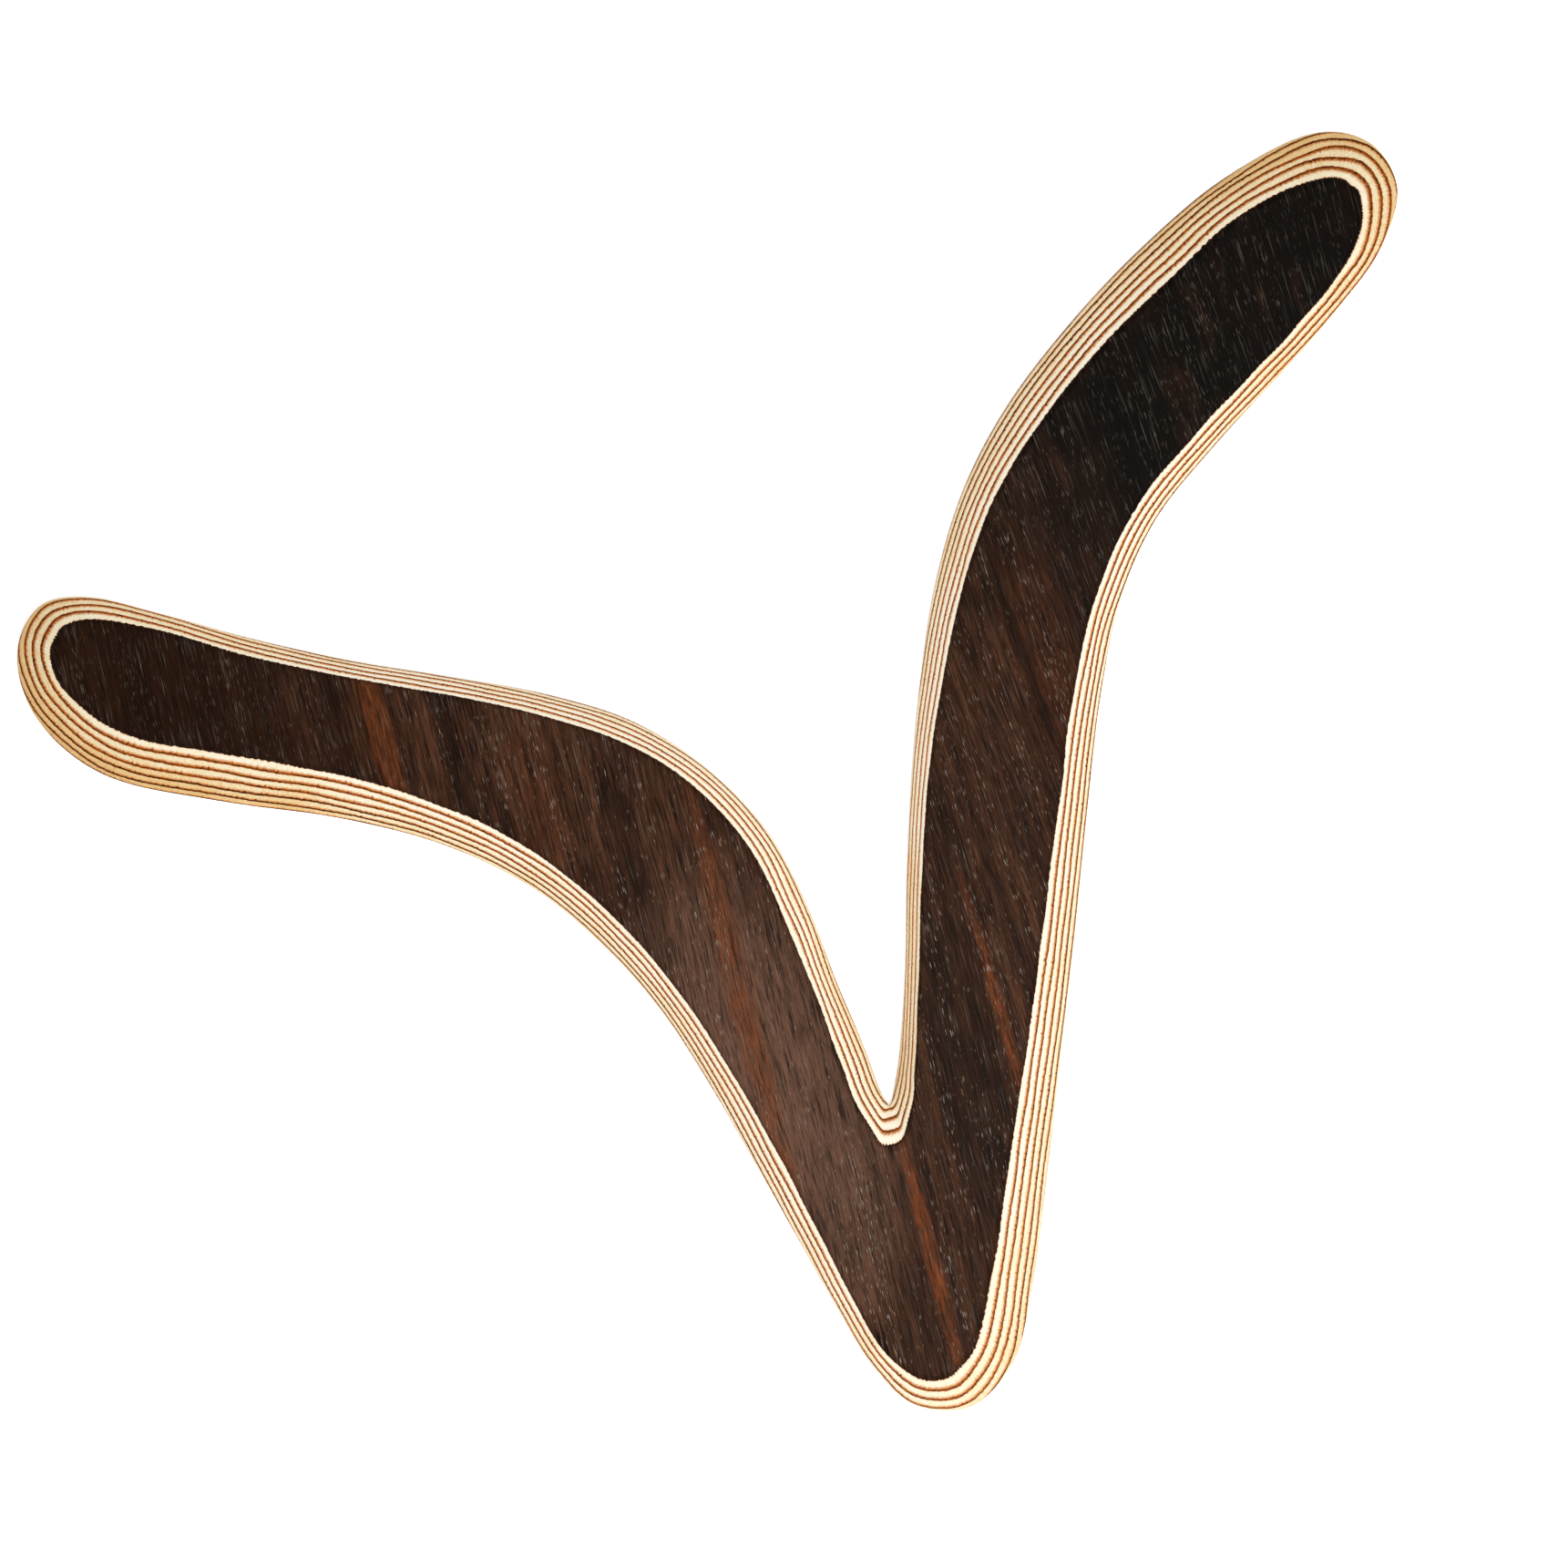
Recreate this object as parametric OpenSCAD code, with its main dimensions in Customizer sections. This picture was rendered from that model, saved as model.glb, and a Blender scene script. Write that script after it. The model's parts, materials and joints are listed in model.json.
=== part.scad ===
// Returning boomerang: a V of laminated birch plywood with a dark veneer on each face.
// The two wing tips lie level along X, the nose points to -Y and the bevelled face looks up.
// The layers are stacked from the underside at Z = 0, with a glue film between neighbours.

/* [Plan] */
// Distance across the outermost points of the two wings
span = 402; // [300:1:480]

/* [Layers] */
// Number of birch plies in the core, odd so that the panel stays flat
ply_count = 7; // [5:2:9]
// Thickness of one birch ply
ply_t = 0.85; // [0.6:0.05:1.2]
// Thickness of one cured glue film
glue_t = 0.15; // [0.05:0.05:0.2]
// Thickness of each face veneer
veneer_t = 0.55; // [0.4:0.05:0.9]

/* [Edge] */
// Width of the bevel as a share of its standard width
bevel_share = 1; // [0.6:0.05:1.1]
// Crown of the bevel: 1 is a flat slope, and more is steeper at the rim
crown = 1.25; // [1:0.05:1.6]
// Easing of the lower arris
ease = 0.5; // [0.1:0.1:1]

/* [Detail] */
// Rim points from one edge station to the next
steps = 4; // [2:1:6]

/* [Hidden] */
// Every edge station is [x, y, width of the bevel, plies that the bevel cuts], in millimetres
// on the drawn span. The wings' trailing sides have the wide, thin bevels and their leading
// sides the narrow, blunt ones.
drawn_span = 402;
left_tip = [-197.5, 138, 9.9, 4.3];
right_tip = [198, 139.5, 13.4, 4.6];
outer_edge = [
    [-201, 124.5, 10.9, 5.4],
    [-197.5, 109.5, 12.4, 6.2],
    [-187, 95, 13, 6.2],
    [-160, 78, 13.3, 6.2],
    [-131, 62.5, 12, 6.2],
    [-107, 46, 10.1, 6.1],
    [-88, 26.5, 8.8, 5.9],
    [-75, 4.5, 7.9, 5.7],
    [-66.5, -17, 7.3, 5.5],
    [-61, -40, 7.3, 5.2],
    [-57, -62.5, 7.2, 4.7],
    [-53, -86, 6.3, 4.1],
    [-49, -110, 5.3, 3.7],
    [-45, -129, 5.6, 3.5],
    [-38, -142.5, 8.1, 3.5],
    [-24, -148, 10.8, 3.8],
    [-9, -141, 12.1, 4.7],
    [4.5, -121, 12.1, 5.8],
    [18, -95, 11.3, 6],
    [32.5, -66, 10.2, 5.6],
    [47, -37, 9.4, 5.5],
    [62, -6, 8.6, 5.4],
    [76.5, 23, 7.9, 5.3],
    [90, 45, 7.2, 4.7],
    [107, 63, 6.7, 4.3],
    [129, 76.5, 6.3, 4.2],
    [152, 88.5, 5.9, 3.9],
    [173, 100, 5.8, 3.4],
    [190.5, 112, 7.3, 3.3],
    [200.5, 126.5, 12.1, 4.2]
];
inner_edge = [
    [-188, 145.5, 9.4, 3.7],
    [-176, 143.5, 6.5, 3.5],
    [-158, 132, 4.7, 3.4],
    [-139, 118.5, 5, 4],
    [-114, 102.5, 4.8, 4.4],
    [-89, 88.5, 5.3, 4.5],
    [-66, 75, 6.1, 5.2],
    [-47, 60.5, 6.6, 5.2],
    [-32.5, 42, 6.1, 4.6],
    [-22.5, 20, 6.8, 4.6],
    [-19, -3, 7.3, 4.8],
    [-18.5, -26, 6.9, 5.2],
    [-17.5, -46, 7.8, 5],
    [-17.5, -57, 8.2, 4.9],
    [-17, -61.5, 10.6, 4.4],
    [-16.5, -63, 10.8, 3.4],
    [-15.5, -62, 9.8, 4],
    [-12.5, -57, 5.5, 4.8],
    [-9, -50.5, 4.4, 5],
    [0.5, -29, 3.7, 4.2],
    [9.5, -5.5, 4.1, 4.4],
    [20, 19.5, 4.5, 4.6],
    [31, 43, 6, 5.2],
    [43.5, 66, 7.5, 6],
    [60, 88.5, 8.7, 6.1],
    [79, 106, 10.3, 6.2],
    [103, 121.5, 10.9, 6.2],
    [130, 135, 11.9, 6.2],
    [158, 145, 11.3, 6.2],
    [186, 147.5, 13.5, 5.4]
];

// Where the wings meet inside the V, the bevel is drawn out along the axis of the web
web = [-16.5, -63];
web_axis = [-0.3, -0.95];
web_lean = 2.8;
web_reach = 4.8;
// Rim points to each side of a point over which the rim's direction is taken
spread = 2;

plan_scale = span / drawn_span;
pitch = ply_t + glue_t;
// Height of the underside of the top veneer, from which the plies are counted downward
face_z = veneer_t + glue_t + ply_count * pitch;
top_z = face_z + veneer_t;

veneer_colour = "#33241d";
film_colour = "#7a3d12";
pale_ply = "#f3e6c4";
golden_ply = "#dcbd86";

function between(a, b, ta, tb, t) = ((tb - t) * a + (t - ta) * b) / (tb - ta);

// Centripetal knot spacing keeps the curve free of loops where stations crowd together
function knot(a, b) = sqrt(norm([b.x - a.x, b.y - a.y]));

// Smooth curve from p1 to p2 with p0 and p3 as their outer neighbours
function curve_at(p0, p1, p2, p3, u) =
    let (
        t1 = knot(p0, p1),
        t2 = t1 + knot(p1, p2),
        t3 = t2 + knot(p2, p3),
        t = t1 + (t2 - t1) * u,
        a1 = between(p0, p1, 0, t1, t),
        a2 = between(p1, p2, t1, t2, t),
        a3 = between(p2, p3, t2, t3, t),
        b1 = between(a1, a2, 0, t2, t),
        b2 = between(a2, a3, t1, t3, t)
    )
    between(b1, b2, t1, t2, t);

// The rim runs from the left tip round the nose to the right tip, and back by the web
station_count = len(inner_edge);
stations = concat(
    [left_tip],
    outer_edge,
    [right_tip],
    [for (i = [station_count - 1 : -1 : 0]) inner_edge[i]]
);
loop_count = len(stations);
rim = [
    for (i = [0 : loop_count - 1])
        for (j = [0 : steps - 1])
            curve_at(
                stations[(i + loop_count - 1) % loop_count],
                stations[i],
                stations[(i + 1) % loop_count],
                stations[(i + 2) % loop_count],
                j / steps
            )
];
rim_count = len(rim);
half_count = rim_count / 2;

// Direction in which the bevel climbs from rim point k: the inward normal, turned to the web's axis near it
function inward(k) =
    let (
        ahead = rim[(k + spread) % rim_count],
        behind = rim[(k + rim_count - spread) % rim_count],
        along = [ahead.x - behind.x, ahead.y - behind.y],
        normal = [-along.y, along.x] / norm(along),
        away = norm([rim[k].x, rim[k].y] - web) / web_reach,
        leaning = normal + web_lean * exp(-away * away) * web_axis
    )
    leaning / norm(leaning);
inward_directions = [for (k = [0 : rim_count - 1]) inward(k)];

// Distance from rim point k to the layer's edge at height z
function run_at(k, z) =
    let (
        plies_down = (face_z - z) / pitch,
        bevel = bevel_share * rim[k][2] * pow(max(0, 1 - plies_down / rim[k][3]), crown),
        lower_arris = ease * max(0, 1 - z / veneer_t)
    )
    max(bevel, lower_arris);

// Outline of the stack at height z
function ring(z) = [
    for (k = [0 : rim_count - 1])
        let (p = plan_scale * ([rim[k].x, rim[k].y] + run_at(k, z) * inward_directions[k]))
        [p.x, p.y, z]
];

// One layer between two heights. Point k on the outer side faces point rim_count - k on the
// inner side, so each face of the layer is a ladder of triangles across the wing.
module layer(z_low, z_high) {
    walls = [
        for (k = [0 : rim_count - 1])
            let (next = (k + 1) % rim_count)
            each [[k, k + rim_count, next], [next, k + rim_count, next + rim_count]]
    ];
    ladder = [
        for (k = [0 : half_count - 1])
            each [
                if (k < half_count - 1) [k, k + 1, rim_count - k - 1],
                if (k > 0) [k, k < half_count - 1 ? rim_count - k - 1 : k + 1, rim_count - k]
            ]
    ];
    upper = [for (t = ladder) [t[2] + rim_count, t[1] + rim_count, t[0] + rim_count]];
    polyhedron(points = concat(ring(z_low), ring(z_high)), faces = concat(walls, ladder, upper));
}

// Birch ply i, counted up from the underside; the outer plies are the pale ones
module birch_ply(i) {
    z_low = veneer_t + glue_t + (i - 1) * pitch;
    color(i % 2 == 1 ? pale_ply : golden_ply) layer(z_low, z_low + ply_t);
}

// Glue film i lies under birch ply i, and the last one is under the top veneer
module glue_film(i) {
    z_low = veneer_t + (i - 1) * pitch;
    color(film_colour) layer(z_low, z_low + glue_t);
}

module back_veneer() {
    color(veneer_colour) layer(0, veneer_t);
}

module top_veneer() {
    color(veneer_colour) layer(face_z, top_z);
}

back_veneer();
for (i = [1 : ply_count]) birch_ply(i);
for (i = [1 : ply_count + 1]) glue_film(i);
top_veneer();
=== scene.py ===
"""Looks of the laminated plywood boomerang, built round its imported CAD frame."""
import json
import math

import bpy
import numpy as np
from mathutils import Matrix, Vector
from mathutils.geometry import delaunay_2d_cdt


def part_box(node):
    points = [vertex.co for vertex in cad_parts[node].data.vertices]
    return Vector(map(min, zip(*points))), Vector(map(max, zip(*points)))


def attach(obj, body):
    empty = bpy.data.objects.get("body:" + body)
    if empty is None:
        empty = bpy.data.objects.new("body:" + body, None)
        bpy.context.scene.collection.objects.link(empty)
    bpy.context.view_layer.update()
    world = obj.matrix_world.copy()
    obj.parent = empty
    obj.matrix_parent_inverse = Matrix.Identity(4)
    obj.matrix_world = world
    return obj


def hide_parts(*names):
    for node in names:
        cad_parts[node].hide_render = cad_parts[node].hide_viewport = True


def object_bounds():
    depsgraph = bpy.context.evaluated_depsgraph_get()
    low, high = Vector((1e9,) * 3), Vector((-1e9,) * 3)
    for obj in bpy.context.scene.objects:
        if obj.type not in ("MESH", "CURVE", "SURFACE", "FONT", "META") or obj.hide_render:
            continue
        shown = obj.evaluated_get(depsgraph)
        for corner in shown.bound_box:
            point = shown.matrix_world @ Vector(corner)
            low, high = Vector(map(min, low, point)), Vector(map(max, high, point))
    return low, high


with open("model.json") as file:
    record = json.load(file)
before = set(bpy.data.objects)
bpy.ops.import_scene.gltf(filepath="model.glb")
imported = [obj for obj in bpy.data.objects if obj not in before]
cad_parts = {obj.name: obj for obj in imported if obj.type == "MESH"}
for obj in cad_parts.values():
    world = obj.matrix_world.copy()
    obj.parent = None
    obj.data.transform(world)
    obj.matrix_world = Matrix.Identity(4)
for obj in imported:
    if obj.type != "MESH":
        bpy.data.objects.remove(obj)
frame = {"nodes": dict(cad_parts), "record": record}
cad_low, cad_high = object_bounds()
scene = bpy.context.scene

# Lengths are in metres, except in the materials, which work in millimetres.
MM = 0.001

# ---- mesh resolution ----
RIM_STEP = 0.45 * MM
PLY_BANDS = 4
FILM_BANDS = 1
VENEER_BANDS = 6
FACE_GRID = 4 * MM
EDGE_CLEARANCE = 0.6 * FACE_GRID
CAP_INSET = 0.5 * MM

# ---- a thinner layer than this is a glue film ----
FILM_LIMIT = 0.3 * MM

# ---- how far past the CAD's bevel the veneer's wall goes on inward, as its arris is rounded ----
ARRIS_REACH = 1.2

# ---- corners sanded round: how far round the bottom of the V or the right tip, and how broadly ----
WEB_REACH, WEB_WIDTH = 11 * MM, 1.6 * MM
TIP_REACH, TIP_WIDTH = 24 * MM, 1.4 * MM

# ---- waves of the glue lines: height, and the shortest and longest wavelength round the rim ----
WAVE_HEIGHT, WAVE_LENGTHS = 0.045 * MM, (18 * MM, 90 * MM)
JITTER_HEIGHT, JITTER_LENGTHS = 0.016 * MM, (1.5 * MM, 7 * MM)
TORN_HEIGHT, TORN_LENGTHS = 0.035 * MM, (1.1 * MM, 3.5 * MM)
TOOTH_HEIGHT, TOOTH_LENGTHS = 0.05 * MM, (0.8 * MM, 2.2 * MM)
TOOTH_LIMIT = 2.5
TOOTH_SHARPNESS = 1.4
LOWER_TEETH = 0.3
MIN_FILM = 0.05 * MM

# ---- seeds of the waves; a glue line adds its own number ----
WAVE_SEED, JITTER_SEED, TORN_SEED = 10, 40, 9
LOWER_TEETH_SEED, UPPER_TEETH_SEED = 70, 100

# ---- glue squeezed out: each edge moves by a share of this, least mid-span and 1 at the tips ----
SQUEEZE_OUT = 0.03 * MM
SQUEEZE_START, SQUEEZE_SPREAD = 40 * MM, 60 * MM
SQUEEZE_LEAST = -0.6

# ---- stage ----
FLOOR_HALF = 6.0
FLOOR_GAP = 0.05 * MM
FLOOR_GLOW = 0.6
KEY_POWER = 12.3
KEY_PLACE = (0.15, -0.34, 1.08)
KEY_SIZE = 0.62
HORIZON = 0.8
ZENITH = 0.22

# ---- camera: width of the view, the height above the floor at which it is that wide, its roll ----
VIEW_SIDE = 0.43025
VIEW_HEIGHT = 2 * MM
VIEW_ROLL = math.radians(-20)
VIEW_SHIFT = Vector((-0.01344, 0.02974, 0))
LENS, SENSOR = 120, 36


def add_object(name, data):
    """New object in the scene that holds a mesh, a light or a camera."""
    thing = bpy.data.objects.new(name, data)
    scene.collection.objects.link(thing)
    return thing


# ======================================================================================
# Reading the layers from the CAD frame
# ======================================================================================
def cad_loop(node, upper):
    """Outline of a CAD layer's upper or lower face as a counter-clockwise loop from its left tip,
    and the index of the right tip in it. A tip is the only corner that has one triangle."""
    mesh = frame["nodes"][node].data
    points = np.array([v.co for v in mesh.vertices])
    face_z = points[:, 2].max() if upper else points[:, 2].min()
    where = {}
    weld = [where.setdefault(tuple(np.round(p * 1e6).astype(int)), len(where)) for p in points]
    spot = {w: p for w, p in zip(weld, points)}
    uses, triangles = {}, {}
    for polygon in mesh.polygons:
        corners = [weld[v] for v in polygon.vertices]
        if any(abs(spot[c][2] - face_z) > 1e-6 for c in corners):
            continue
        for a, b in zip(corners, corners[1:] + corners[:1]):
            uses.setdefault(frozenset((a, b)), []).append((a, b))
            triangles[a] = triangles.get(a, 0) + 1
    following = {}
    for pair in uses.values():
        if len(pair) == 1:
            a, b = pair[0] if upper else pair[0][::-1]
            following[a] = b
    tips = sorted((c for c, n in triangles.items() if n == 1), key=lambda c: spot[c][0])
    loop = [tips[0]]
    while following[loop[-1]] != tips[0]:
        loop.append(following[loop[-1]])
    return np.array([spot[c] for c in loop]), loop.index(tips[-1])


def stacked_layers():
    """Names of the CAD layers from the underside up."""
    return sorted(frame["nodes"], key=lambda name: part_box(name)[0].z)


LAYERS = stacked_layers()
TOP = len(LAYERS) - 1
loops = [cad_loop(name, False) for name in LAYERS] + [cad_loop(LAYERS[TOP], True)]
HALF_CAD = loops[0][1]
assert all(half == HALF_CAD and len(loop) == 2 * HALF_CAD for loop, half in loops)
CAD_RINGS = np.array([loop for loop, _ in loops])
LEVELS = CAD_RINGS[:, 0, 2]


def curve_between(t, gap, start, end, rate_start, rate_end):
    """Smooth curve over a gap, from start at t 0 to end at t 1, with the given rates there."""
    curve = (2 * t**3 - 3 * t**2 + 1) * start + (t**3 - 2 * t**2 + t) * gap * rate_start
    curve += (3 * t**2 - 2 * t**3) * end + (t**3 - t**2) * gap * rate_end
    return curve


def finer_rings(rings):
    """Plan of the CAD rings redrawn as smooth curves with a point every RIM_STEP or less, the
    distance along the rim at each point, and the whole length of the rim. The outer and the
    inner side of the wing get the same number of points, so that they stay in pairs."""
    chord = np.linalg.norm(np.roll(rings, -1, 1) - rings, axis=2).max(0)
    chord = np.maximum(chord, chord[::-1])
    pieces = np.ceil(chord / RIM_STEP).astype(int)
    knots = np.concatenate([[0], np.cumsum(chord)])
    step_behind = np.roll(chord, 1)
    ahead = (np.roll(rings, -1, 1) - rings) / chord[None, :, None]
    behind = np.roll(ahead, 1, 1)
    slope = (ahead * step_behind[None, :, None] + behind * chord[None, :, None])
    slope /= (chord + step_behind)[None, :, None]
    segment = np.repeat(np.arange(len(chord)), pieces)
    after = (segment + 1) % len(chord)
    part = np.concatenate([np.arange(n) / n for n in pieces])
    length = chord[segment][None, :, None]
    curve = curve_between(
        part[None, :, None], length,
        rings[:, segment], rings[:, after], slope[:, segment], slope[:, after],
    )
    plan = np.clip(curve[:, :, :2], cad_low[:2], cad_high[:2])
    return plan, knots[segment] + part * chord[segment], knots[-1]


RINGS, ALONG, PERIMETER = finer_rings(CAD_RINGS)
COUNT = len(ALONG)
HALF = COUNT // 2
COLUMN = np.arange(COUNT)


def web_column():
    """Rim column at the bottom of the V: the lowest point on the way back from the right tip."""
    return HALF + RINGS[-1, HALF:, 1].argmin()


def soften(column, reach, width):
    """Sands corners up to width off the rings within reach of a column, most on the top ring."""
    for number, ring in enumerate(RINGS):
        gap = np.linalg.norm(ring - ring[column], axis=1)
        steps = np.linalg.norm(ring - np.roll(ring, 1, 0), axis=1)
        columns = width * number / (len(RINGS) - 1) / steps[gap < reach].mean()
        away = np.arange(-int(4 * columns) - 1, int(4 * columns) + 2)
        weights = np.exp(-0.5 * (away / max(columns, 0.1)) ** 2)
        weights /= weights.sum()
        smooth = sum(w * np.roll(ring, -k, 0) for k, w in zip(away, weights))
        ring += (smooth - ring) * np.exp(-((gap / reach) ** 4))[:, None]


soften(web_column(), WEB_REACH, WEB_WIDTH)
soften(HALF, TIP_REACH, TIP_WIDTH)


def level_slopes():
    """Rate at which each rim column moves inward with height, kept free of overshoot."""
    gaps = np.diff(LEVELS)[:, None, None]
    rates = np.diff(RINGS, axis=0) / gaps
    low, high = rates[:-1], rates[1:]
    gap_low, gap_high = gaps[:-1], gaps[1:]
    same_way = low * high > 0
    weight_a = 2 * gap_high + gap_low
    weight_b = gap_high + 2 * gap_low
    safe_low = np.where(same_way, low, 1)
    safe_high = np.where(same_way, high, 1)
    blended = (weight_a + weight_b) / (weight_a / safe_low + weight_b / safe_high)
    return np.concatenate([rates[:1], np.where(same_way, blended, 0), rates[-1:]])


SLOPES = level_slopes()


def bevel_points(heights):
    """Where the bevel's surface lies at the given height in each rim column. Above the CAD's
    top it goes on in a straight line."""
    inside = np.clip(heights, LEVELS[0], LEVELS[-1])
    band = np.clip(np.searchsorted(LEVELS, inside, side="right") - 1, 0, len(LEVELS) - 2)
    gap = (LEVELS[band + 1] - LEVELS[band])[:, None]
    spots = curve_between(
        ((inside - LEVELS[band])[:, None]) / gap, gap,
        RINGS[band, COLUMN], RINGS[band + 1, COLUMN],
        SLOPES[band, COLUMN], SLOPES[band + 1, COLUMN],
    )
    return spots + (heights - inside)[:, None] * SLOPES[-1]


INWARD = RINGS[-1] - RINGS[1]
INWARD /= np.linalg.norm(INWARD, axis=1)[:, None]


# ======================================================================================
# Glue lines
# ======================================================================================
def rim_noise(seed, shortest, longest):
    """Random wave round the rim with wavelengths between the two, of unit strength."""
    random = np.random.default_rng(seed)
    frequency = np.fft.rfftfreq(COUNT, PERIMETER / COUNT)
    band = (frequency >= 1 / longest) & (frequency <= 1 / shortest)
    phase = random.uniform(0, 2 * math.pi, len(frequency))
    size = np.where(band, np.maximum(frequency, 1 / longest) ** -0.5, 0)
    wave = np.fft.irfft(size * np.exp(1j * phase), COUNT)
    return wave / wave.std()


def teeth(seed):
    """One-sided spikes round the rim, as fibres torn where a ply meets its glue."""
    return np.clip(rim_noise(seed, *TOOTH_LENGTHS), 0, TOOTH_LIMIT) ** TOOTH_SHARPNESS


def line_heights():
    """Height of every layer boundary in every rim column. Only the glue lines waver, and the top
    one is thinner and torn where it crosses the end grain."""
    heights = np.repeat(LEVELS[:, None], COUNT, axis=1)
    end_grain = np.abs(INWARD[:, 1])
    outward = (np.abs(RINGS[1, :, 0]) - SQUEEZE_START) / SQUEEZE_SPREAD
    wide = np.clip(outward, SQUEEZE_LEAST, 1) * SQUEEZE_OUT
    for lower in range(1, TOP, 2):
        wave = WAVE_HEIGHT * rim_noise(WAVE_SEED + lower, *WAVE_LENGTHS)
        wave += JITTER_HEIGHT * rim_noise(JITTER_SEED + lower, *JITTER_LENGTHS)
        if lower == TOP - 1:
            wave += TORN_HEIGHT * end_grain * rim_noise(TORN_SEED, *TORN_LENGTHS)
            wide = -SQUEEZE_OUT
        lower_teeth = LOWER_TEETH * TOOTH_HEIGHT * teeth(LOWER_TEETH_SEED + lower)
        upper_teeth = TOOTH_HEIGHT * teeth(UPPER_TEETH_SEED + lower)
        heights[lower] += wave - lower_teeth - wide
        heights[lower + 1] += wave + upper_teeth + wide
        heights[lower + 1] = np.maximum(heights[lower + 1], heights[lower] + MIN_FILM)
    return heights


HEIGHTS = line_heights()


# ======================================================================================
# Layer meshes
# ======================================================================================
def layer_rings(index):
    """Rings of one layer from its lower boundary to its upper one, and the share of its height
    at each. The lower arris and the veneer's upper arris are rounded."""
    low = HEIGHTS[index]
    depth = HEIGHTS[index + 1] - low
    bands = FILM_BANDS if depth.mean() < FILM_LIMIT else PLY_BANDS
    if index in (0, TOP):
        bands = VENEER_BANDS
    shares = np.linspace(0, 1, bands + 1)
    rings = []
    for share in shares:
        height = low + depth * share
        reach = height
        if index == 0:
            reach = low + depth * math.sin(share * math.pi / 2)
        if index == TOP:
            height = low + depth * (1.5 * share - 0.5 * share**3)
            reach = low + depth * ARRIS_REACH * share
        rings.append(np.column_stack([bevel_points(reach), height]))
    return rings, list(shares)


def cap_ring(ring, level):
    """Flat ring a little inside another, where the hidden face between two layers begins."""
    inner = ring[:, :2] + INWARD * CAP_INSET
    return np.column_stack([inner, np.full(COUNT, level)])


def layer_stack(index):
    """The rings and shares of one layer, with those of its hidden faces."""
    stack, shares = layer_rings(index)
    if index > 0:
        stack = [cap_ring(stack[0], LEVELS[index])] + stack
        shares = [0.0] + shares
    if index < TOP:
        stack = stack + [cap_ring(stack[-1], LEVELS[index + 1])]
        shares = shares + [1.0]
    return stack, shares


def wall_quads(rows):
    """Quads between each ring of a stack and the next one."""
    ahead = np.roll(COLUMN, -1)
    quads = []
    for base in range(0, (rows - 1) * COUNT, COUNT):
        above = base + COUNT
        corners = np.column_stack([base + COLUMN, base + ahead, above + ahead, above + COLUMN])
        quads += [tuple(quad) for quad in corners.tolist()]
    return quads


def is_inside(points, outline):
    """Whether each point lies inside an outline: a line from it crosses the outline an odd number
    of times."""
    crossings = np.zeros(len(points), int)
    for a, b in zip(outline, np.roll(outline, -1, 0)):
        spans = (a[1] > points[:, 1]) != (b[1] > points[:, 1])
        if spans.any():
            x_at = a[0] + (points[spans, 1] - a[1]) * (b[0] - a[0]) / (b[1] - a[1])
            crossings[spans] += points[spans, 0] < x_at
    return crossings % 2 == 1


def grid_points(outline):
    """Staggered points FACE_GRID apart that lie inside an outline and clear of its edge."""
    low, high = outline.min(0), outline.max(0)
    rows = np.arange(low[1], high[1], FACE_GRID * math.sqrt(3) / 2)
    points = []
    for number, y in enumerate(rows):
        shift = FACE_GRID / 2 * (number % 2)
        points += [(x, y) for x in np.arange(low[0] + shift, high[0], FACE_GRID)]
    points = np.array(points)
    inside = points[is_inside(points, outline)]
    gap = [np.min(np.sum((outline[::3] - p) ** 2, axis=1)) for p in inside]
    return inside[np.array(gap) > EDGE_CLEARANCE**2]


def fill_outline(outline, extra):
    """Triangles between the points of an outline and the extra points inside it, all facing up."""
    corners = [Vector(p) for p in np.concatenate([outline, extra])]
    count = len(outline)
    edges = [(k, (k + 1) % count) for k in range(count)]
    places, _, triangles, origins, _, _ = delaunay_2d_cdt(corners, edges, [], 1, 1e-9)
    assert len(places) == len(corners)
    source = [group[0] for group in origins]
    faces = []
    for t in triangles:
        a, b, c = (source[v] for v in t)
        turn = (corners[b] - corners[a]).cross(corners[c] - corners[a])
        faces.append((a, b, c) if turn > 0 else (a, c, b))
    return faces


def cap(outline, first, offset, is_visible):
    """New points and upward triangles of a flat face. The outline's points start at first in the
    mesh and the new ones at offset."""
    flat = outline[:, :2]
    extra = grid_points(flat) if is_visible else np.empty((0, 2))
    faces = fill_outline(flat, extra)
    count = len(outline)
    moved = [tuple(first + v if v < count else offset + v - count for v in f) for f in faces]
    return np.column_stack([extra, np.full(len(extra), outline[0, 2])]), moved


def build_layer(index):
    """One layer as a closed mesh, with the height share of each point as an attribute. In the
    veneers it is 1 on the face that shows."""
    stack, shares = layer_stack(index)
    points = np.concatenate(stack)
    faces = wall_quads(len(stack))
    wall_count = len(faces)
    low_points, low_faces = cap(stack[0], 0, len(points), index == 0)
    points = np.concatenate([points, low_points])
    high_points, high_faces = cap(stack[-1], (len(stack) - 1) * COUNT, len(points), index == TOP)
    points = np.concatenate([points, high_points])
    faces += [f[::-1] for f in low_faces] + high_faces
    share = np.full(len(points), 1.0 if index == TOP else 0.0)
    share[:len(stack) * COUNT] = np.repeat(shares, COUNT)
    if index == 0:
        share = 1 - share
    name = LAYERS[index] + "_look"
    mesh = bpy.data.meshes.new(name)
    mesh.from_pydata(points.tolist(), [], faces)
    mesh.polygons.foreach_set("use_smooth", np.arange(len(faces)) < wall_count)
    layer = mesh.attributes.new("share", "FLOAT", "POINT")
    layer.data.foreach_set("value", share.astype(np.float32))
    mesh.update()
    return add_object(name, mesh)


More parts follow.
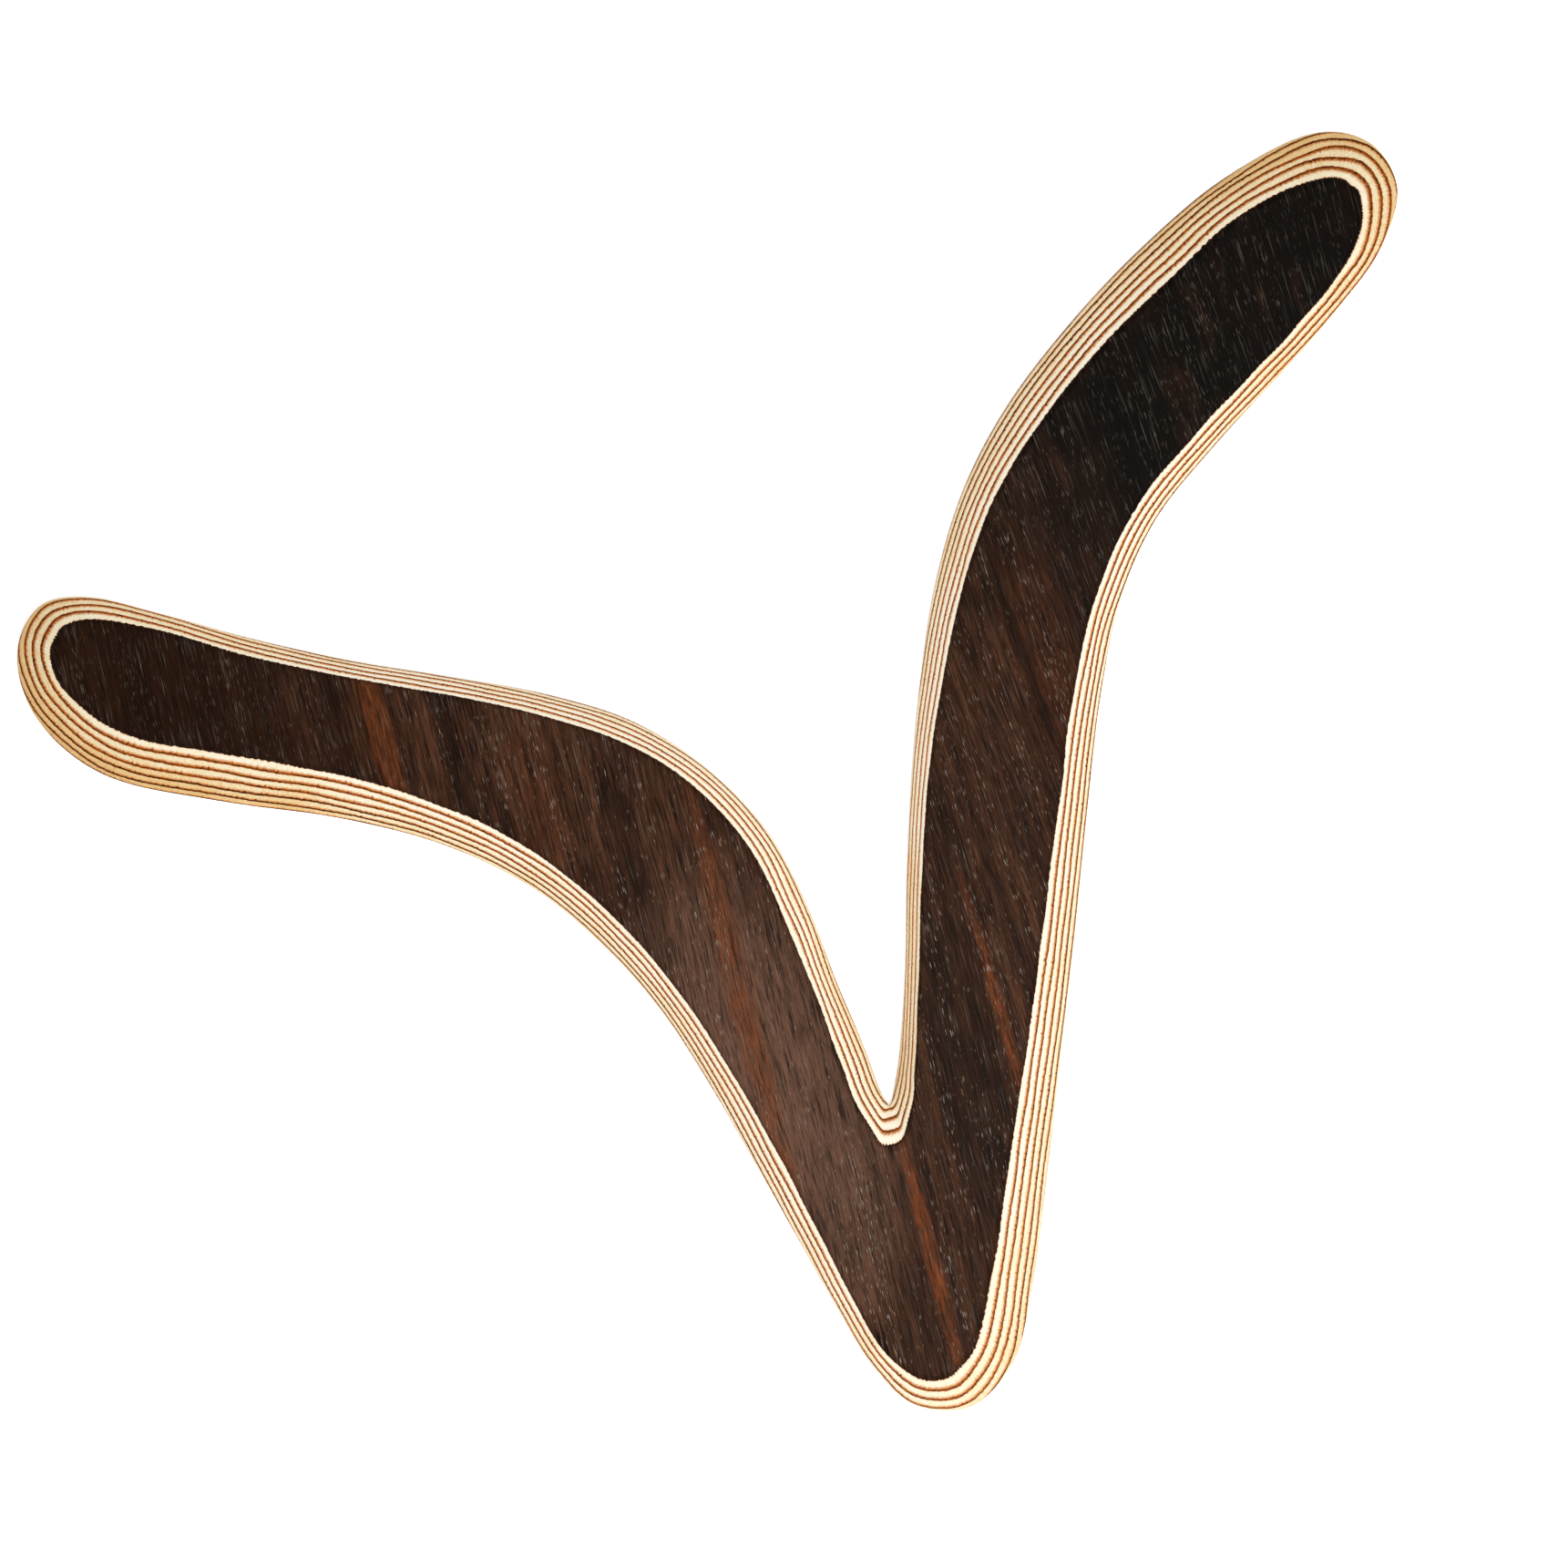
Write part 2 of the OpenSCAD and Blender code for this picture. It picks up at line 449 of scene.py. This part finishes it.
# ======================================================================================
# Materials, in millimetres apart from the depth of a bump
# ======================================================================================
class Wood:
    """A node material with short calls for the sums and noises that wood needs."""

    def __init__(self, name):
        self.material = bpy.data.materials.new(name)
        self.material.use_nodes = True
        self.tree = self.material.node_tree
        self.shader = self.tree.nodes["Principled BSDF"]
        coordinates = self.tree.nodes.new("ShaderNodeTexCoord")
        self.spot = self.vector("MULTIPLY", coordinates.outputs["Object"], (1 / MM, 1 / MM, 1 / MM))
        axes = self.tree.nodes.new("ShaderNodeSeparateXYZ")
        self.put(axes.inputs[0], self.spot)
        self.x, self.y = axes.outputs[0], axes.outputs[1]

    def put(self, socket, value):
        """Links an output to a socket, or sets the socket's own value."""
        if isinstance(value, bpy.types.NodeSocket):
            self.tree.links.new(value, socket)
        else:
            socket.default_value = value

    def math(self, operation, a, b=0.0, c=0.0):
        node = self.tree.nodes.new("ShaderNodeMath")
        node.operation = operation
        for socket, value in zip(node.inputs, (a, b, c)):
            self.put(socket, value)
        return node.outputs[0]

    def vector(self, operation, a, b):
        node = self.tree.nodes.new("ShaderNodeVectorMath")
        node.operation = operation
        self.put(node.inputs[0], a)
        self.put(node.inputs[1], b)
        return node.outputs[0]

    def join(self, x, y, z):
        node = self.tree.nodes.new("ShaderNodeCombineXYZ")
        for socket, value in zip(node.inputs, (x, y, z)):
            self.put(socket, value)
        return node.outputs[0]

    def noise(self, vector, detail, roughness):
        node = self.tree.nodes.new("ShaderNodeTexNoise")
        self.put(node.inputs["Vector"], vector)
        node.inputs["Scale"].default_value = 1.0
        node.inputs["Detail"].default_value = detail
        node.inputs["Roughness"].default_value = roughness
        return node.outputs["Fac"]

    def clouds(self, scale, detail, roughness):
        """Noise in space, with its frequency along each axis."""
        return self.noise(self.vector("MULTIPLY", self.spot, scale), detail, roughness)

    def streaks(self, x, y, width, length, seed, detail, roughness):
        """Noise drawn out along y: width across and length along."""
        across = self.math("DIVIDE", x, width)
        along = self.math("DIVIDE", y, length)
        return self.noise(self.join(across, along, seed), detail, roughness)

    def swing(self, level, *parts):
        """Level plus some noises, each swinging about zero over its own range."""
        for value, span in parts:
            level = self.math("ADD", level, self.math("MULTIPLY_ADD", value, span, -span / 2))
        return level

    def ellipse(self, x, y, middle_x, middle_y, half_x, half_y):
        """0 in the middle of an ellipse, 1 on its edge and more outside."""
        dx = self.math("DIVIDE", self.math("SUBTRACT", x, middle_x), half_x)
        dy = self.math("DIVIDE", self.math("SUBTRACT", y, middle_y), half_y)
        return self.math("ADD", self.math("MULTIPLY", dx, dx), self.math("MULTIPLY", dy, dy))

    def band(self, value, low, high, start=0.0, end=1.0):
        """Start where the value is low, end where it is high, smooth between."""
        node = self.tree.nodes.new("ShaderNodeMapRange")
        node.interpolation_type = "SMOOTHSTEP"
        for key, number in (("Value", value), ("From Min", low), ("From Max", high),
                            ("To Min", start), ("To Max", end)):
            self.put(node.inputs[key], number)
        return node.outputs[0]

    def mix(self, share, a, b):
        """Colour a where share is 0 and b where it is 1."""
        node = self.tree.nodes.new("ShaderNodeMix")
        node.data_type = "RGBA"
        self.put(node.inputs[0], share)
        for socket, value in ((node.inputs[6], a), (node.inputs[7], b)):
            self.put(socket, (*value, 1.0) if isinstance(value, tuple) else value)
        return node.outputs[2]

    def tint(self, colour, value, low, high, strength, target):
        """Colour turned toward a target, from none at low to strength at high."""
        return self.mix(self.band(value, low, high, 0.0, strength), colour, target)

    def share(self):
        """The height share stored on the mesh."""
        node = self.tree.nodes.new("ShaderNodeAttribute")
        node.attribute_name = "share"
        return node.outputs["Fac"]

    def bump(self, height, distance, strength):
        """Relief by a height from 0 to 1, as deep as distance in metres."""
        node = self.tree.nodes.new("ShaderNodeBump")
        self.put(node.inputs["Height"], height)
        node.inputs["Distance"].default_value = distance
        node.inputs["Strength"].default_value = strength
        self.put(self.shader.inputs["Normal"], node.outputs[0])

    def finish(self, colour, roughness, specular):
        self.put(self.shader.inputs["Base Color"], colour)
        self.put(self.shader.inputs["Roughness"], roughness)
        self.shader.inputs["Specular IOR Level"].default_value = specular


def srgb(*channels):
    """Linear colour from the usual 0 to 255 values."""
    share = [c / 255 for c in channels]
    return tuple(c / 12.92 if c <= 0.04045 else ((c + 0.055) / 1.055) ** 2.4 for c in share)


# ---- veneer: colours ----
NIGHT = srgb(12, 8, 5)
DARK = srgb(33, 18, 10)
BROWN = srgb(58, 34, 21)
TAWNY = srgb(88, 56, 38)
RED = srgb(122, 62, 28)
# Painted sheen: the grey lift of the veneer round the elbow, where the key light would reflect
SHEEN_GREY = srgb(108, 78, 62)
# Painted shade: near black toward the right tip, where the light falls off
SHADE_BLACK = srgb(10, 9, 7)
# Darker, redder brown at the left tip: its darkening is painted shade of the light falling off there
EMBER = srgb(30, 14, 6)
# Pale grey of the open pores, whose brightness is a painted sheen; the pale veins use it too
PORE = srgb(184, 172, 158)

# ---- veneer: textures, each with width, length, seed, detail and roughness ----
BROAD_GRAIN = (11, 150, 1.7, 2.0, 0.55)
MIDDLE_GRAIN = (2.6, 50, 4.4, 2.0, 0.6)
FINE_GRAIN = (0.55, 13, 5.1, 3.0, 0.7)
HAIR_GRAIN = (0.33, 4, 8.3, 2.0, 0.6)
SWAY_GRAIN = (50, 60, 3.0, 1.0, 0.5)
RIPPLE_GRAIN = (8, 20, 9.0, 2.0, 0.5)
PATCH_GRAIN = (1.6, 9, 31.0, 3.0, 0.6)
# Patches of the painted shade along the right wing
SHADE_PATCH_GRAIN = (9, 26, 15.0, 2.0, 0.5)
VEIN_GRAIN = (0.36, 13, 41.0, 1.0, 0.5)
CLUSTER_GRAIN = (4, 70, 12.0, 2.0, 0.5)
PORE_GRAIN = (0.22, 3.2, 20.0, 1.0, 0.4)
TONE_CLOUDS = ((0.12, 0.06, 0.0), 2.0, 0.5)

# ---- veneer: how far each noise swings, in tone or in millimetres of shift ----
MEAN_TONE = 0.5
BROAD_SWING, MIDDLE_SWING, FINE_SWING, CLOUD_SWING = 0.6, 0.7, 1.5, 0.4
SWAY_SWING, RIPPLE_SWING = 2.4, 0.6

# ---- veneer: tints, each from none at the first value to its strength at the second ----
BROWN_TONE = (0.2, 0.6, 1.0, BROWN)
TAWNY_TONE = (0.5, 0.95, 1.0, TAWNY)
# Left tip: a darker ember brown, its darkening painted shade
EMBER_TIP = (-95, -160, 0.82, EMBER)
FINE_LINES = (0.48, 0.32, 0.65, NIGHT)
HAIR_LINES = (0.5, 0.32, 0.5, NIGHT)
PALE_VEINS = (0.6, 0.78, 0.12, PORE)
DARK_EDGE = (0.9, 0.2, 0.25, NIGHT)

# ---- veneer: ranges that a value is mapped from and to ----
# Fade of the painted sheen round the elbow, and its strength by tone
SHEEN_FADE = (1.6, 0.0)
SHEEN_BY_TONE = (0.0, 0.8, 0.2, 0.75)
RED_BY_PATCH = (0.35, 0.62, 0.25, 1.0)
# Painted shade of the right wing: its growth along the wing, and its strength in patches
SHADE_BY_ARM = (35, 150, 0.0, 0.95)
SHADE_BY_PATCH = (0.5, 0.66, 1.0, 0.8)
# Painted sheen of the pores by x: less toward the left tip
SHINE_BY_X = (-60, -130, 0.6, 0.22)
PORE_FADE = (-0.02, 0.08)
STREAK_FADE = (1.8, 0.0)

# ---- veneer: other strengths ----
BLACK_STRENGTH = 0.8
ARM_SLANT = 0.4
PORE_LIMIT, PORE_CLUSTERING = 0.845, -0.3
# How much the painted shade of the right wing dims the painted sheen of the pores
SHADE_DULLS_PORES = -0.44
VENEER_ROUGHNESS, VENEER_ROUGHNESS_SWING = 0.35, 0.2
VENEER_SPECULAR = 0.025
FINE_DEPTH, HAIR_DEPTH, PORE_DEPTH = 0.5, 0.3, -0.8
VENEER_BUMP = (0.05 * MM, 0.5)

# Middle and half width of the painted sheen, a pale grey patch round the elbow
SHEEN_PLACE = (-46, -48, 30, 62)

# Broad heartwood streaks along the grain: x and y of the middle, half width, half length, strength
RED_STREAKS = (
    (-112, 84, 3.5, 42, 0.65),
    (-45, -28, 3.5, 60, 0.55),
    (-20, -106, 1.9, 34, 0.8),
    (21, -46, 1.7, 32, 0.7),
    (66, 30, 9, 45, 0.2),
    (-78, 45, 6, 35, 0.1),
    (150, 110, 5, 25, 0.1),
)
BLACK_STREAKS = (
    (60, 40, 1.6, 40, 0.7),
    (-125, 90, 4, 40, 0.5),
    (-97, 60, 3, 40, 0.6),
    (-58, 25, 4, 50, 0.4),
    (108, 95, 6, 40, 0.5),
    (45, -10, 2.5, 40, 0.4),
    (6, -60, 9, 50, 0.6),
)

# Leans of the grain, from the nose leftward and at the right tip: sideways shift for each unit of
# height, the height at which the shift is zero, and the x at which the lean begins and is full
LEANS = ((0.1, -100, 50, 10), (0.08, 120, 120, 190))


def lean_at(x, y):
    """Sideways shift of the grain at a place, as grain_across has it."""
    shift = 0
    for lean, pivot, begins, full in LEANS:
        t = min(max((x - begins) / (full - begins), 0), 1)
        shift += lean * (3 * t**2 - 2 * t**3) * (y - pivot)
    return shift


def grain_across(wood):
    """Distance across the grain. The grain runs along Y, leans by LEANS and sways on its way."""
    across = wood.x
    for lean, pivot, begins, full in LEANS:
        share = wood.band(wood.x, begins, full, 0.0, lean)
        shift = wood.math("MULTIPLY", share, wood.math("SUBTRACT", wood.y, pivot))
        across = wood.math("SUBTRACT", across, shift)
    sway = wood.streaks(wood.x, wood.y, *SWAY_GRAIN)
    ripple = wood.streaks(wood.x, wood.y, *RIPPLE_GRAIN)
    return wood.swing(across, (sway, SWAY_SWING), (ripple, RIPPLE_SWING))


def streak_field(wood, gx, streaks):
    """Strength from 0 to 1 of the strongest of some long soft streaks."""
    total = None
    for x, y, half_width, half_length, strength in streaks:
        away = wood.ellipse(gx, wood.y, x - lean_at(x, y), y, half_width, half_length)
        one = wood.band(away, *STREAK_FADE, 0.0, strength)
        total = one if total is None else wood.math("MAXIMUM", total, one)
    return total


def veneer_tone(wood, gx, fine):
    """How light the veneer is, from all its grains together."""
    broad = wood.streaks(gx, wood.y, *BROAD_GRAIN)
    middle = wood.streaks(gx, wood.y, *MIDDLE_GRAIN)
    cloud = wood.clouds(*TONE_CLOUDS)
    return wood.swing(
        MEAN_TONE,
        (broad, BROAD_SWING), (middle, MIDDLE_SWING), (fine, FINE_SWING), (cloud, CLOUD_SWING),
    )


def veneer_wing_shade(wood, gx):
    """How much painted shade darkens the veneer: more and more along the right wing toward its tip,
    in patches.
    """
    arm = wood.math("ADD", wood.x, wood.math("MULTIPLY", wood.y, ARM_SLANT))
    patches = wood.band(wood.streaks(gx, wood.y, *SHADE_PATCH_GRAIN), *SHADE_BY_PATCH)
    return wood.math("MULTIPLY", wood.band(arm, *SHADE_BY_ARM), patches)


def veneer_places(wood, gx, tone, wing_shade):
    """Colour of the veneer from place to place: a painted sheen round the elbow, streaked red and
    black, painted shade darkening the right wing toward its tip, and a darker ember brown at the
    left tip, where the darkening is painted shade too."""
    colour = wood.tint(DARK, tone, *BROWN_TONE)
    colour = wood.tint(colour, tone, *TAWNY_TONE)
    # Painted sheen: a pale grey patch round the elbow stands in for the key light's reflection there
    sheen_patch = wood.band(wood.ellipse(wood.x, wood.y, *SHEEN_PLACE), *SHEEN_FADE)
    painted_sheen = wood.math("MULTIPLY", sheen_patch, wood.band(tone, *SHEEN_BY_TONE))
    colour = wood.mix(painted_sheen, colour, SHEEN_GREY)
    patchy = wood.band(wood.streaks(gx, wood.y, *PATCH_GRAIN), *RED_BY_PATCH)
    redness = wood.math("MULTIPLY", streak_field(wood, gx, RED_STREAKS), patchy)
    colour = wood.mix(redness, colour, RED)
    black = wood.math("MULTIPLY", streak_field(wood, gx, BLACK_STREAKS), BLACK_STRENGTH)
    colour = wood.mix(black, colour, NIGHT)
    # Painted shade: the right wing goes to near black toward its tip, where the light falls off
    colour = wood.mix(wing_shade, colour, SHADE_BLACK)
    # The left tip turns a darker ember brown; its darkening is painted shade of the light falling
    # off there
    return wood.tint(colour, wood.x, *EMBER_TIP)


def veneer_pores(wood, gx):
    """Strength of the short dashes of open pores, which come in clusters; their brightness is a
    painted sheen.
    """
    cluster = wood.streaks(gx, wood.y, *CLUSTER_GRAIN)
    dash = wood.streaks(gx, wood.y, *PORE_GRAIN)
    threshold = wood.math("MULTIPLY_ADD", cluster, PORE_CLUSTERING, PORE_LIMIT)
    return wood.band(wood.math("SUBTRACT", dash, threshold), *PORE_FADE)


def veneer_material(name):
    """Dark, straight-grained, open-pored wood."""
    wood = Wood(name)
    gx = grain_across(wood)
    fine = wood.streaks(gx, wood.y, *FINE_GRAIN)
    hair = wood.streaks(gx, wood.y, *HAIR_GRAIN)
    wing_shade = veneer_wing_shade(wood, gx)
    colour = veneer_places(wood, gx, veneer_tone(wood, gx, fine), wing_shade)
    colour = wood.tint(colour, fine, *FINE_LINES)
    colour = wood.tint(colour, hair, *HAIR_LINES)
    colour = wood.tint(colour, wood.streaks(gx, wood.y, *VEIN_GRAIN), *PALE_VEINS)
    pore = veneer_pores(wood, gx)
    # Painted sheen of the pores: brightest mid-span, less toward the left tip and under the painted
    # shade of the right wing
    shine = wood.math("MULTIPLY_ADD", wing_shade, SHADE_DULLS_PORES, wood.band(wood.x, *SHINE_BY_X))
    colour = wood.mix(wood.math("MULTIPLY", pore, shine), colour, PORE)
    colour = wood.tint(colour, wood.share(), *DARK_EDGE)
    roughness = wood.math("MULTIPLY_ADD", fine, VENEER_ROUGHNESS_SWING, VENEER_ROUGHNESS)
    wood.finish(colour, roughness, VENEER_SPECULAR)
    relief = wood.math("MULTIPLY_ADD", fine, FINE_DEPTH, wood.math("MULTIPLY", pore, PORE_DEPTH))
    wood.bump(wood.math("MULTIPLY_ADD", hair, HAIR_DEPTH, relief), *VENEER_BUMP)
    return wood.material


# ---- birch: colours, from bleached to toasted, and the glue's stain ----
CREAM = srgb(238, 231, 211)
STRAW = srgb(231, 217, 181)
GOLD = srgb(218, 184, 127)
TOAST = srgb(190, 146, 88)
ORANGE = srgb(208, 116, 28)

# ---- birch: textures ----
FIBRE_GRAIN = (0.4, 3.0, 2.0, 3.0, 0.65)
FUZZ_GRAIN = (0.22, 0.8, 7.0, 2.0, 0.6)
BIRCH_CLOUDS = ((0.06, 0.06, 0.0), 2.0, 0.5)
FIBRE_SWING, FUZZ_SWING, BIRCH_CLOUD_SWING = 0.9, 0.4, 0.4

# ---- birch: places that are more golden, with the golden tone that each adds ----
TIP_FADE = (90, 195)
NOSE_GOLD = (-90, -125, 0.0, 0.12)
# Painted shade on the V's right wall, which faces away from the key light: its place and its gold
SHADED_WALL_PLACE = (-3, -15, 17, 62)
WALL_SHADE_GOLD = (1.3, 0.6, 0.0, 0.2)

# ---- birch: tints by tone, then by height in the ply ----
STRAW_TONE = (0.0, 0.35, 1.0, STRAW)
GOLD_TONE = (0.3, 0.7, 1.0, GOLD)
TOAST_TONE = (0.65, 1.1, 1.0, TOAST)
LOWER_GLOW = (0.55, 0.0, 0.48, GOLD)
LOWER_STAIN = (0.4, 0.08, 0.85, ORANGE)
UPPER_STAIN = (1.05, 1.2, 0.6, ORANGE)
LOWER_RAG, LOWER_MARGIN, UPPER_RAG = -0.6, 0.3, 0.4
BIRCH_ROUGHNESS, BIRCH_SPECULAR = 0.6, 0.15
FUZZ_DEPTH = 0.5
BIRCH_BUMP = (0.06 * MM, 0.5)

# Golden tone of the birch plies from the underside up: in the middle and added at the tips
PLY_TONES = (
    (0.4, 0.45),
    (0.38, 0.45),
    (0.32, 0.42),
    (0.24, 0.4),
    (0.16, 0.3),
    (0.1, 0.34),
    (0.04, 0.2),
)


def golden_places(wood, tone, tip_tone):
    """How golden a ply is: more at the tips, at the nose, and on the V's right wall, where the gold
    is painted shade of a wall facing away from the key light.
    """
    tips = wood.band(wood.math("ABSOLUTE", wood.x), *TIP_FADE, 0.0, tip_tone)
    nose = wood.band(wood.y, *NOSE_GOLD)
    # Painted shade: the V's right wall faces away from the key light, so it is painted more golden
    wall_shade = wood.band(wood.ellipse(wood.x, wood.y, *SHADED_WALL_PLACE), *WALL_SHADE_GOLD)
    places = wood.math("ADD", wood.math("ADD", tips, nose), wall_shade)
    return wood.math("ADD", places, tone)


def stained(wood, colour, fuzz):
    """Colour with the glue's stain: broad along the lower edge of a ply, slight on the upper."""
    share = wood.share()
    margin = wood.math("ADD", share, LOWER_MARGIN)
    lower = wood.math("MULTIPLY_ADD", fuzz, LOWER_RAG, margin)
    colour = wood.tint(colour, lower, *LOWER_GLOW)
    colour = wood.tint(colour, lower, *LOWER_STAIN)
    return wood.tint(colour, wood.math("MULTIPLY_ADD", fuzz, UPPER_RAG, share), *UPPER_STAIN)


def ply_material(name, tone, tip_tone, across):
    """Sanded birch: the tones say how golden the ply is, and across is True where its grain runs
    along X."""
    wood = Wood(name)
    g_across, g_along = (wood.y, wood.x) if across else (wood.x, wood.y)
    clouds = wood.clouds(*BIRCH_CLOUDS)
    fibre = wood.streaks(g_across, g_along, *FIBRE_GRAIN)
    fuzz = wood.streaks(g_across, g_along, *FUZZ_GRAIN)
    level = wood.swing(
        golden_places(wood, tone, tip_tone),
        (clouds, BIRCH_CLOUD_SWING), (fibre, FIBRE_SWING), (fuzz, FUZZ_SWING),
    )
    colour = wood.tint(CREAM, level, *STRAW_TONE)
    colour = wood.tint(colour, level, *GOLD_TONE)
    colour = wood.tint(colour, level, *TOAST_TONE)
    wood.finish(stained(wood, colour, fuzz), BIRCH_ROUGHNESS, BIRCH_SPECULAR)
    wood.bump(wood.math("MULTIPLY_ADD", fuzz, FUZZ_DEPTH, fibre), *BIRCH_BUMP)
    return wood.material


# ---- glue ----
BLOTCHES = ((0.9, 0.9, 3.0), 3.0, 0.6)
BLOTCH_FADE = (0.35, 0.65)
GLUE_ROUGHNESS, GLUE_SPECULAR = 0.5, 0.03
GLUE_BUMP = (0.02 * MM, 0.4)


def film_material(name, light, dark):
    """Cured glue, blotched from light to dark."""
    wood = Wood(name)
    blotch = wood.clouds(*BLOTCHES)
    colour = wood.mix(wood.band(blotch, *BLOTCH_FADE), dark, light)
    wood.finish(colour, GLUE_ROUGHNESS, GLUE_SPECULAR)
    wood.bump(blotch, *GLUE_BUMP)
    return wood.material


# ---- floor ----
PAPER_CLOUDS = ((0.02, 0.02, 0.02), 3.0, 0.5)
PAPER_DIM, PAPER_BRIGHT = (0.93, 0.93, 0.93), (0.96, 0.96, 0.96)
PAPER_ROUGHNESS, PAPER_SPECULAR = 0.9, 0.1


def floor_material():
    """Matt white paper, lit a little from behind."""
    wood = Wood("studio_floor")
    colour = wood.mix(wood.clouds(*PAPER_CLOUDS), PAPER_DIM, PAPER_BRIGHT)
    wood.finish(colour, PAPER_ROUGHNESS, PAPER_SPECULAR)
    wood.shader.inputs["Emission Color"].default_value = (1, 1, 1, 1)
    wood.shader.inputs["Emission Strength"].default_value = FLOOR_GLOW
    return wood.material


# ======================================================================================
# Pieces
# ======================================================================================
record_slots = {s["node"]: s["material_slot"] for s in frame["record"]["subparts"]}
upper_glue = film_material("upper_glue", srgb(164, 78, 8), srgb(80, 34, 4))
lower_glue = film_material("lower_glue", srgb(104, 48, 8), srgb(30, 13, 3))
veneer_glue = film_material("veneer_glue", srgb(62, 34, 18), srgb(24, 14, 8))
veneer_wood = veneer_material("dark_veneer_wood")


def layer_material(index, slot):
    """Material of a layer. There are three glues: in the lower half, in the upper half and under
    the top veneer."""
    if slot == "dark_veneer":
        return veneer_wood
    if slot == "glue_line":
        if index == TOP - 1:
            return veneer_glue
        return upper_glue if index > len(LAYERS) / 2 else lower_glue
    tone, tip_tone = PLY_TONES[index // 2 - 1]
    return ply_material(LAYERS[index] + "_wood", tone, tip_tone, slot == "pale_birch")


for index, node in enumerate(LAYERS):
    piece = build_layer(index)
    slot = record_slots[node]
    piece.data.materials.append(layer_material(index, slot))
    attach(piece, "root")
    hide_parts(node)


# ======================================================================================
# Stage
# ======================================================================================
MIDDLE = (cad_low + cad_high) / 2


def build_floor():
    """A wide square of paper just under the boomerang."""
    mesh = bpy.data.meshes.new("floor")
    signs = ((-1, -1), (1, -1), (1, 1), (-1, 1))
    corners = [(FLOOR_HALF * x, FLOOR_HALF * y, 0) for x, y in signs]
    mesh.from_pydata(corners, [], [(0, 1, 2, 3)])
    mesh.materials.append(floor_material())
    paper = add_object("floor", mesh)
    paper.location.z = cad_low.z - FLOOR_GAP
    return paper


def build_camera():
    """Looks straight down, rolled, through a long lens."""
    data = bpy.data.cameras.new("camera")
    data.lens = LENS
    data.sensor_width = SENSOR
    camera = add_object("camera", data)
    height = cad_low.z + VIEW_HEIGHT + VIEW_SIDE * LENS / SENSOR
    camera.location = (MIDDLE.x + VIEW_SHIFT.x, MIDDLE.y + VIEW_SHIFT.y, height)
    camera.rotation_euler = (0, 0, VIEW_ROLL)
    return camera


def build_key_light():
    """A square area light that faces the boomerang."""
    data = bpy.data.lights.new("key_light", "AREA")
    data.shape = "SQUARE"
    data.size = KEY_SIZE
    data.energy = KEY_POWER
    lamp = add_object("key_light", data)
    lamp.location = KEY_PLACE
    lamp.rotation_euler = (Vector(KEY_PLACE) - MIDDLE).to_track_quat("Z", "Y").to_euler()


def build_sky():
    """White all round, brighter at the horizon than overhead."""
    world = bpy.data.worlds.new("studio")
    world.use_nodes = True
    nodes, links = world.node_tree.nodes, world.node_tree.links
    direction = nodes.new("ShaderNodeTexCoord")
    axes = nodes.new("ShaderNodeSeparateXYZ")
    fade = nodes.new("ShaderNodeMapRange")
    fade.inputs["To Min"].default_value = HORIZON
    fade.inputs["To Max"].default_value = ZENITH
    links.new(direction.outputs["Generated"], axes.inputs[0])
    links.new(axes.outputs["Z"], fade.inputs["Value"])
    links.new(fade.outputs[0], nodes["Background"].inputs["Strength"])
    nodes["Background"].inputs["Color"].default_value = (1, 1, 1, 1)
    return world


floor = build_floor()
scene.camera = build_camera()
build_key_light()
scene.world = build_sky()
scene.view_settings.view_transform = "Standard"
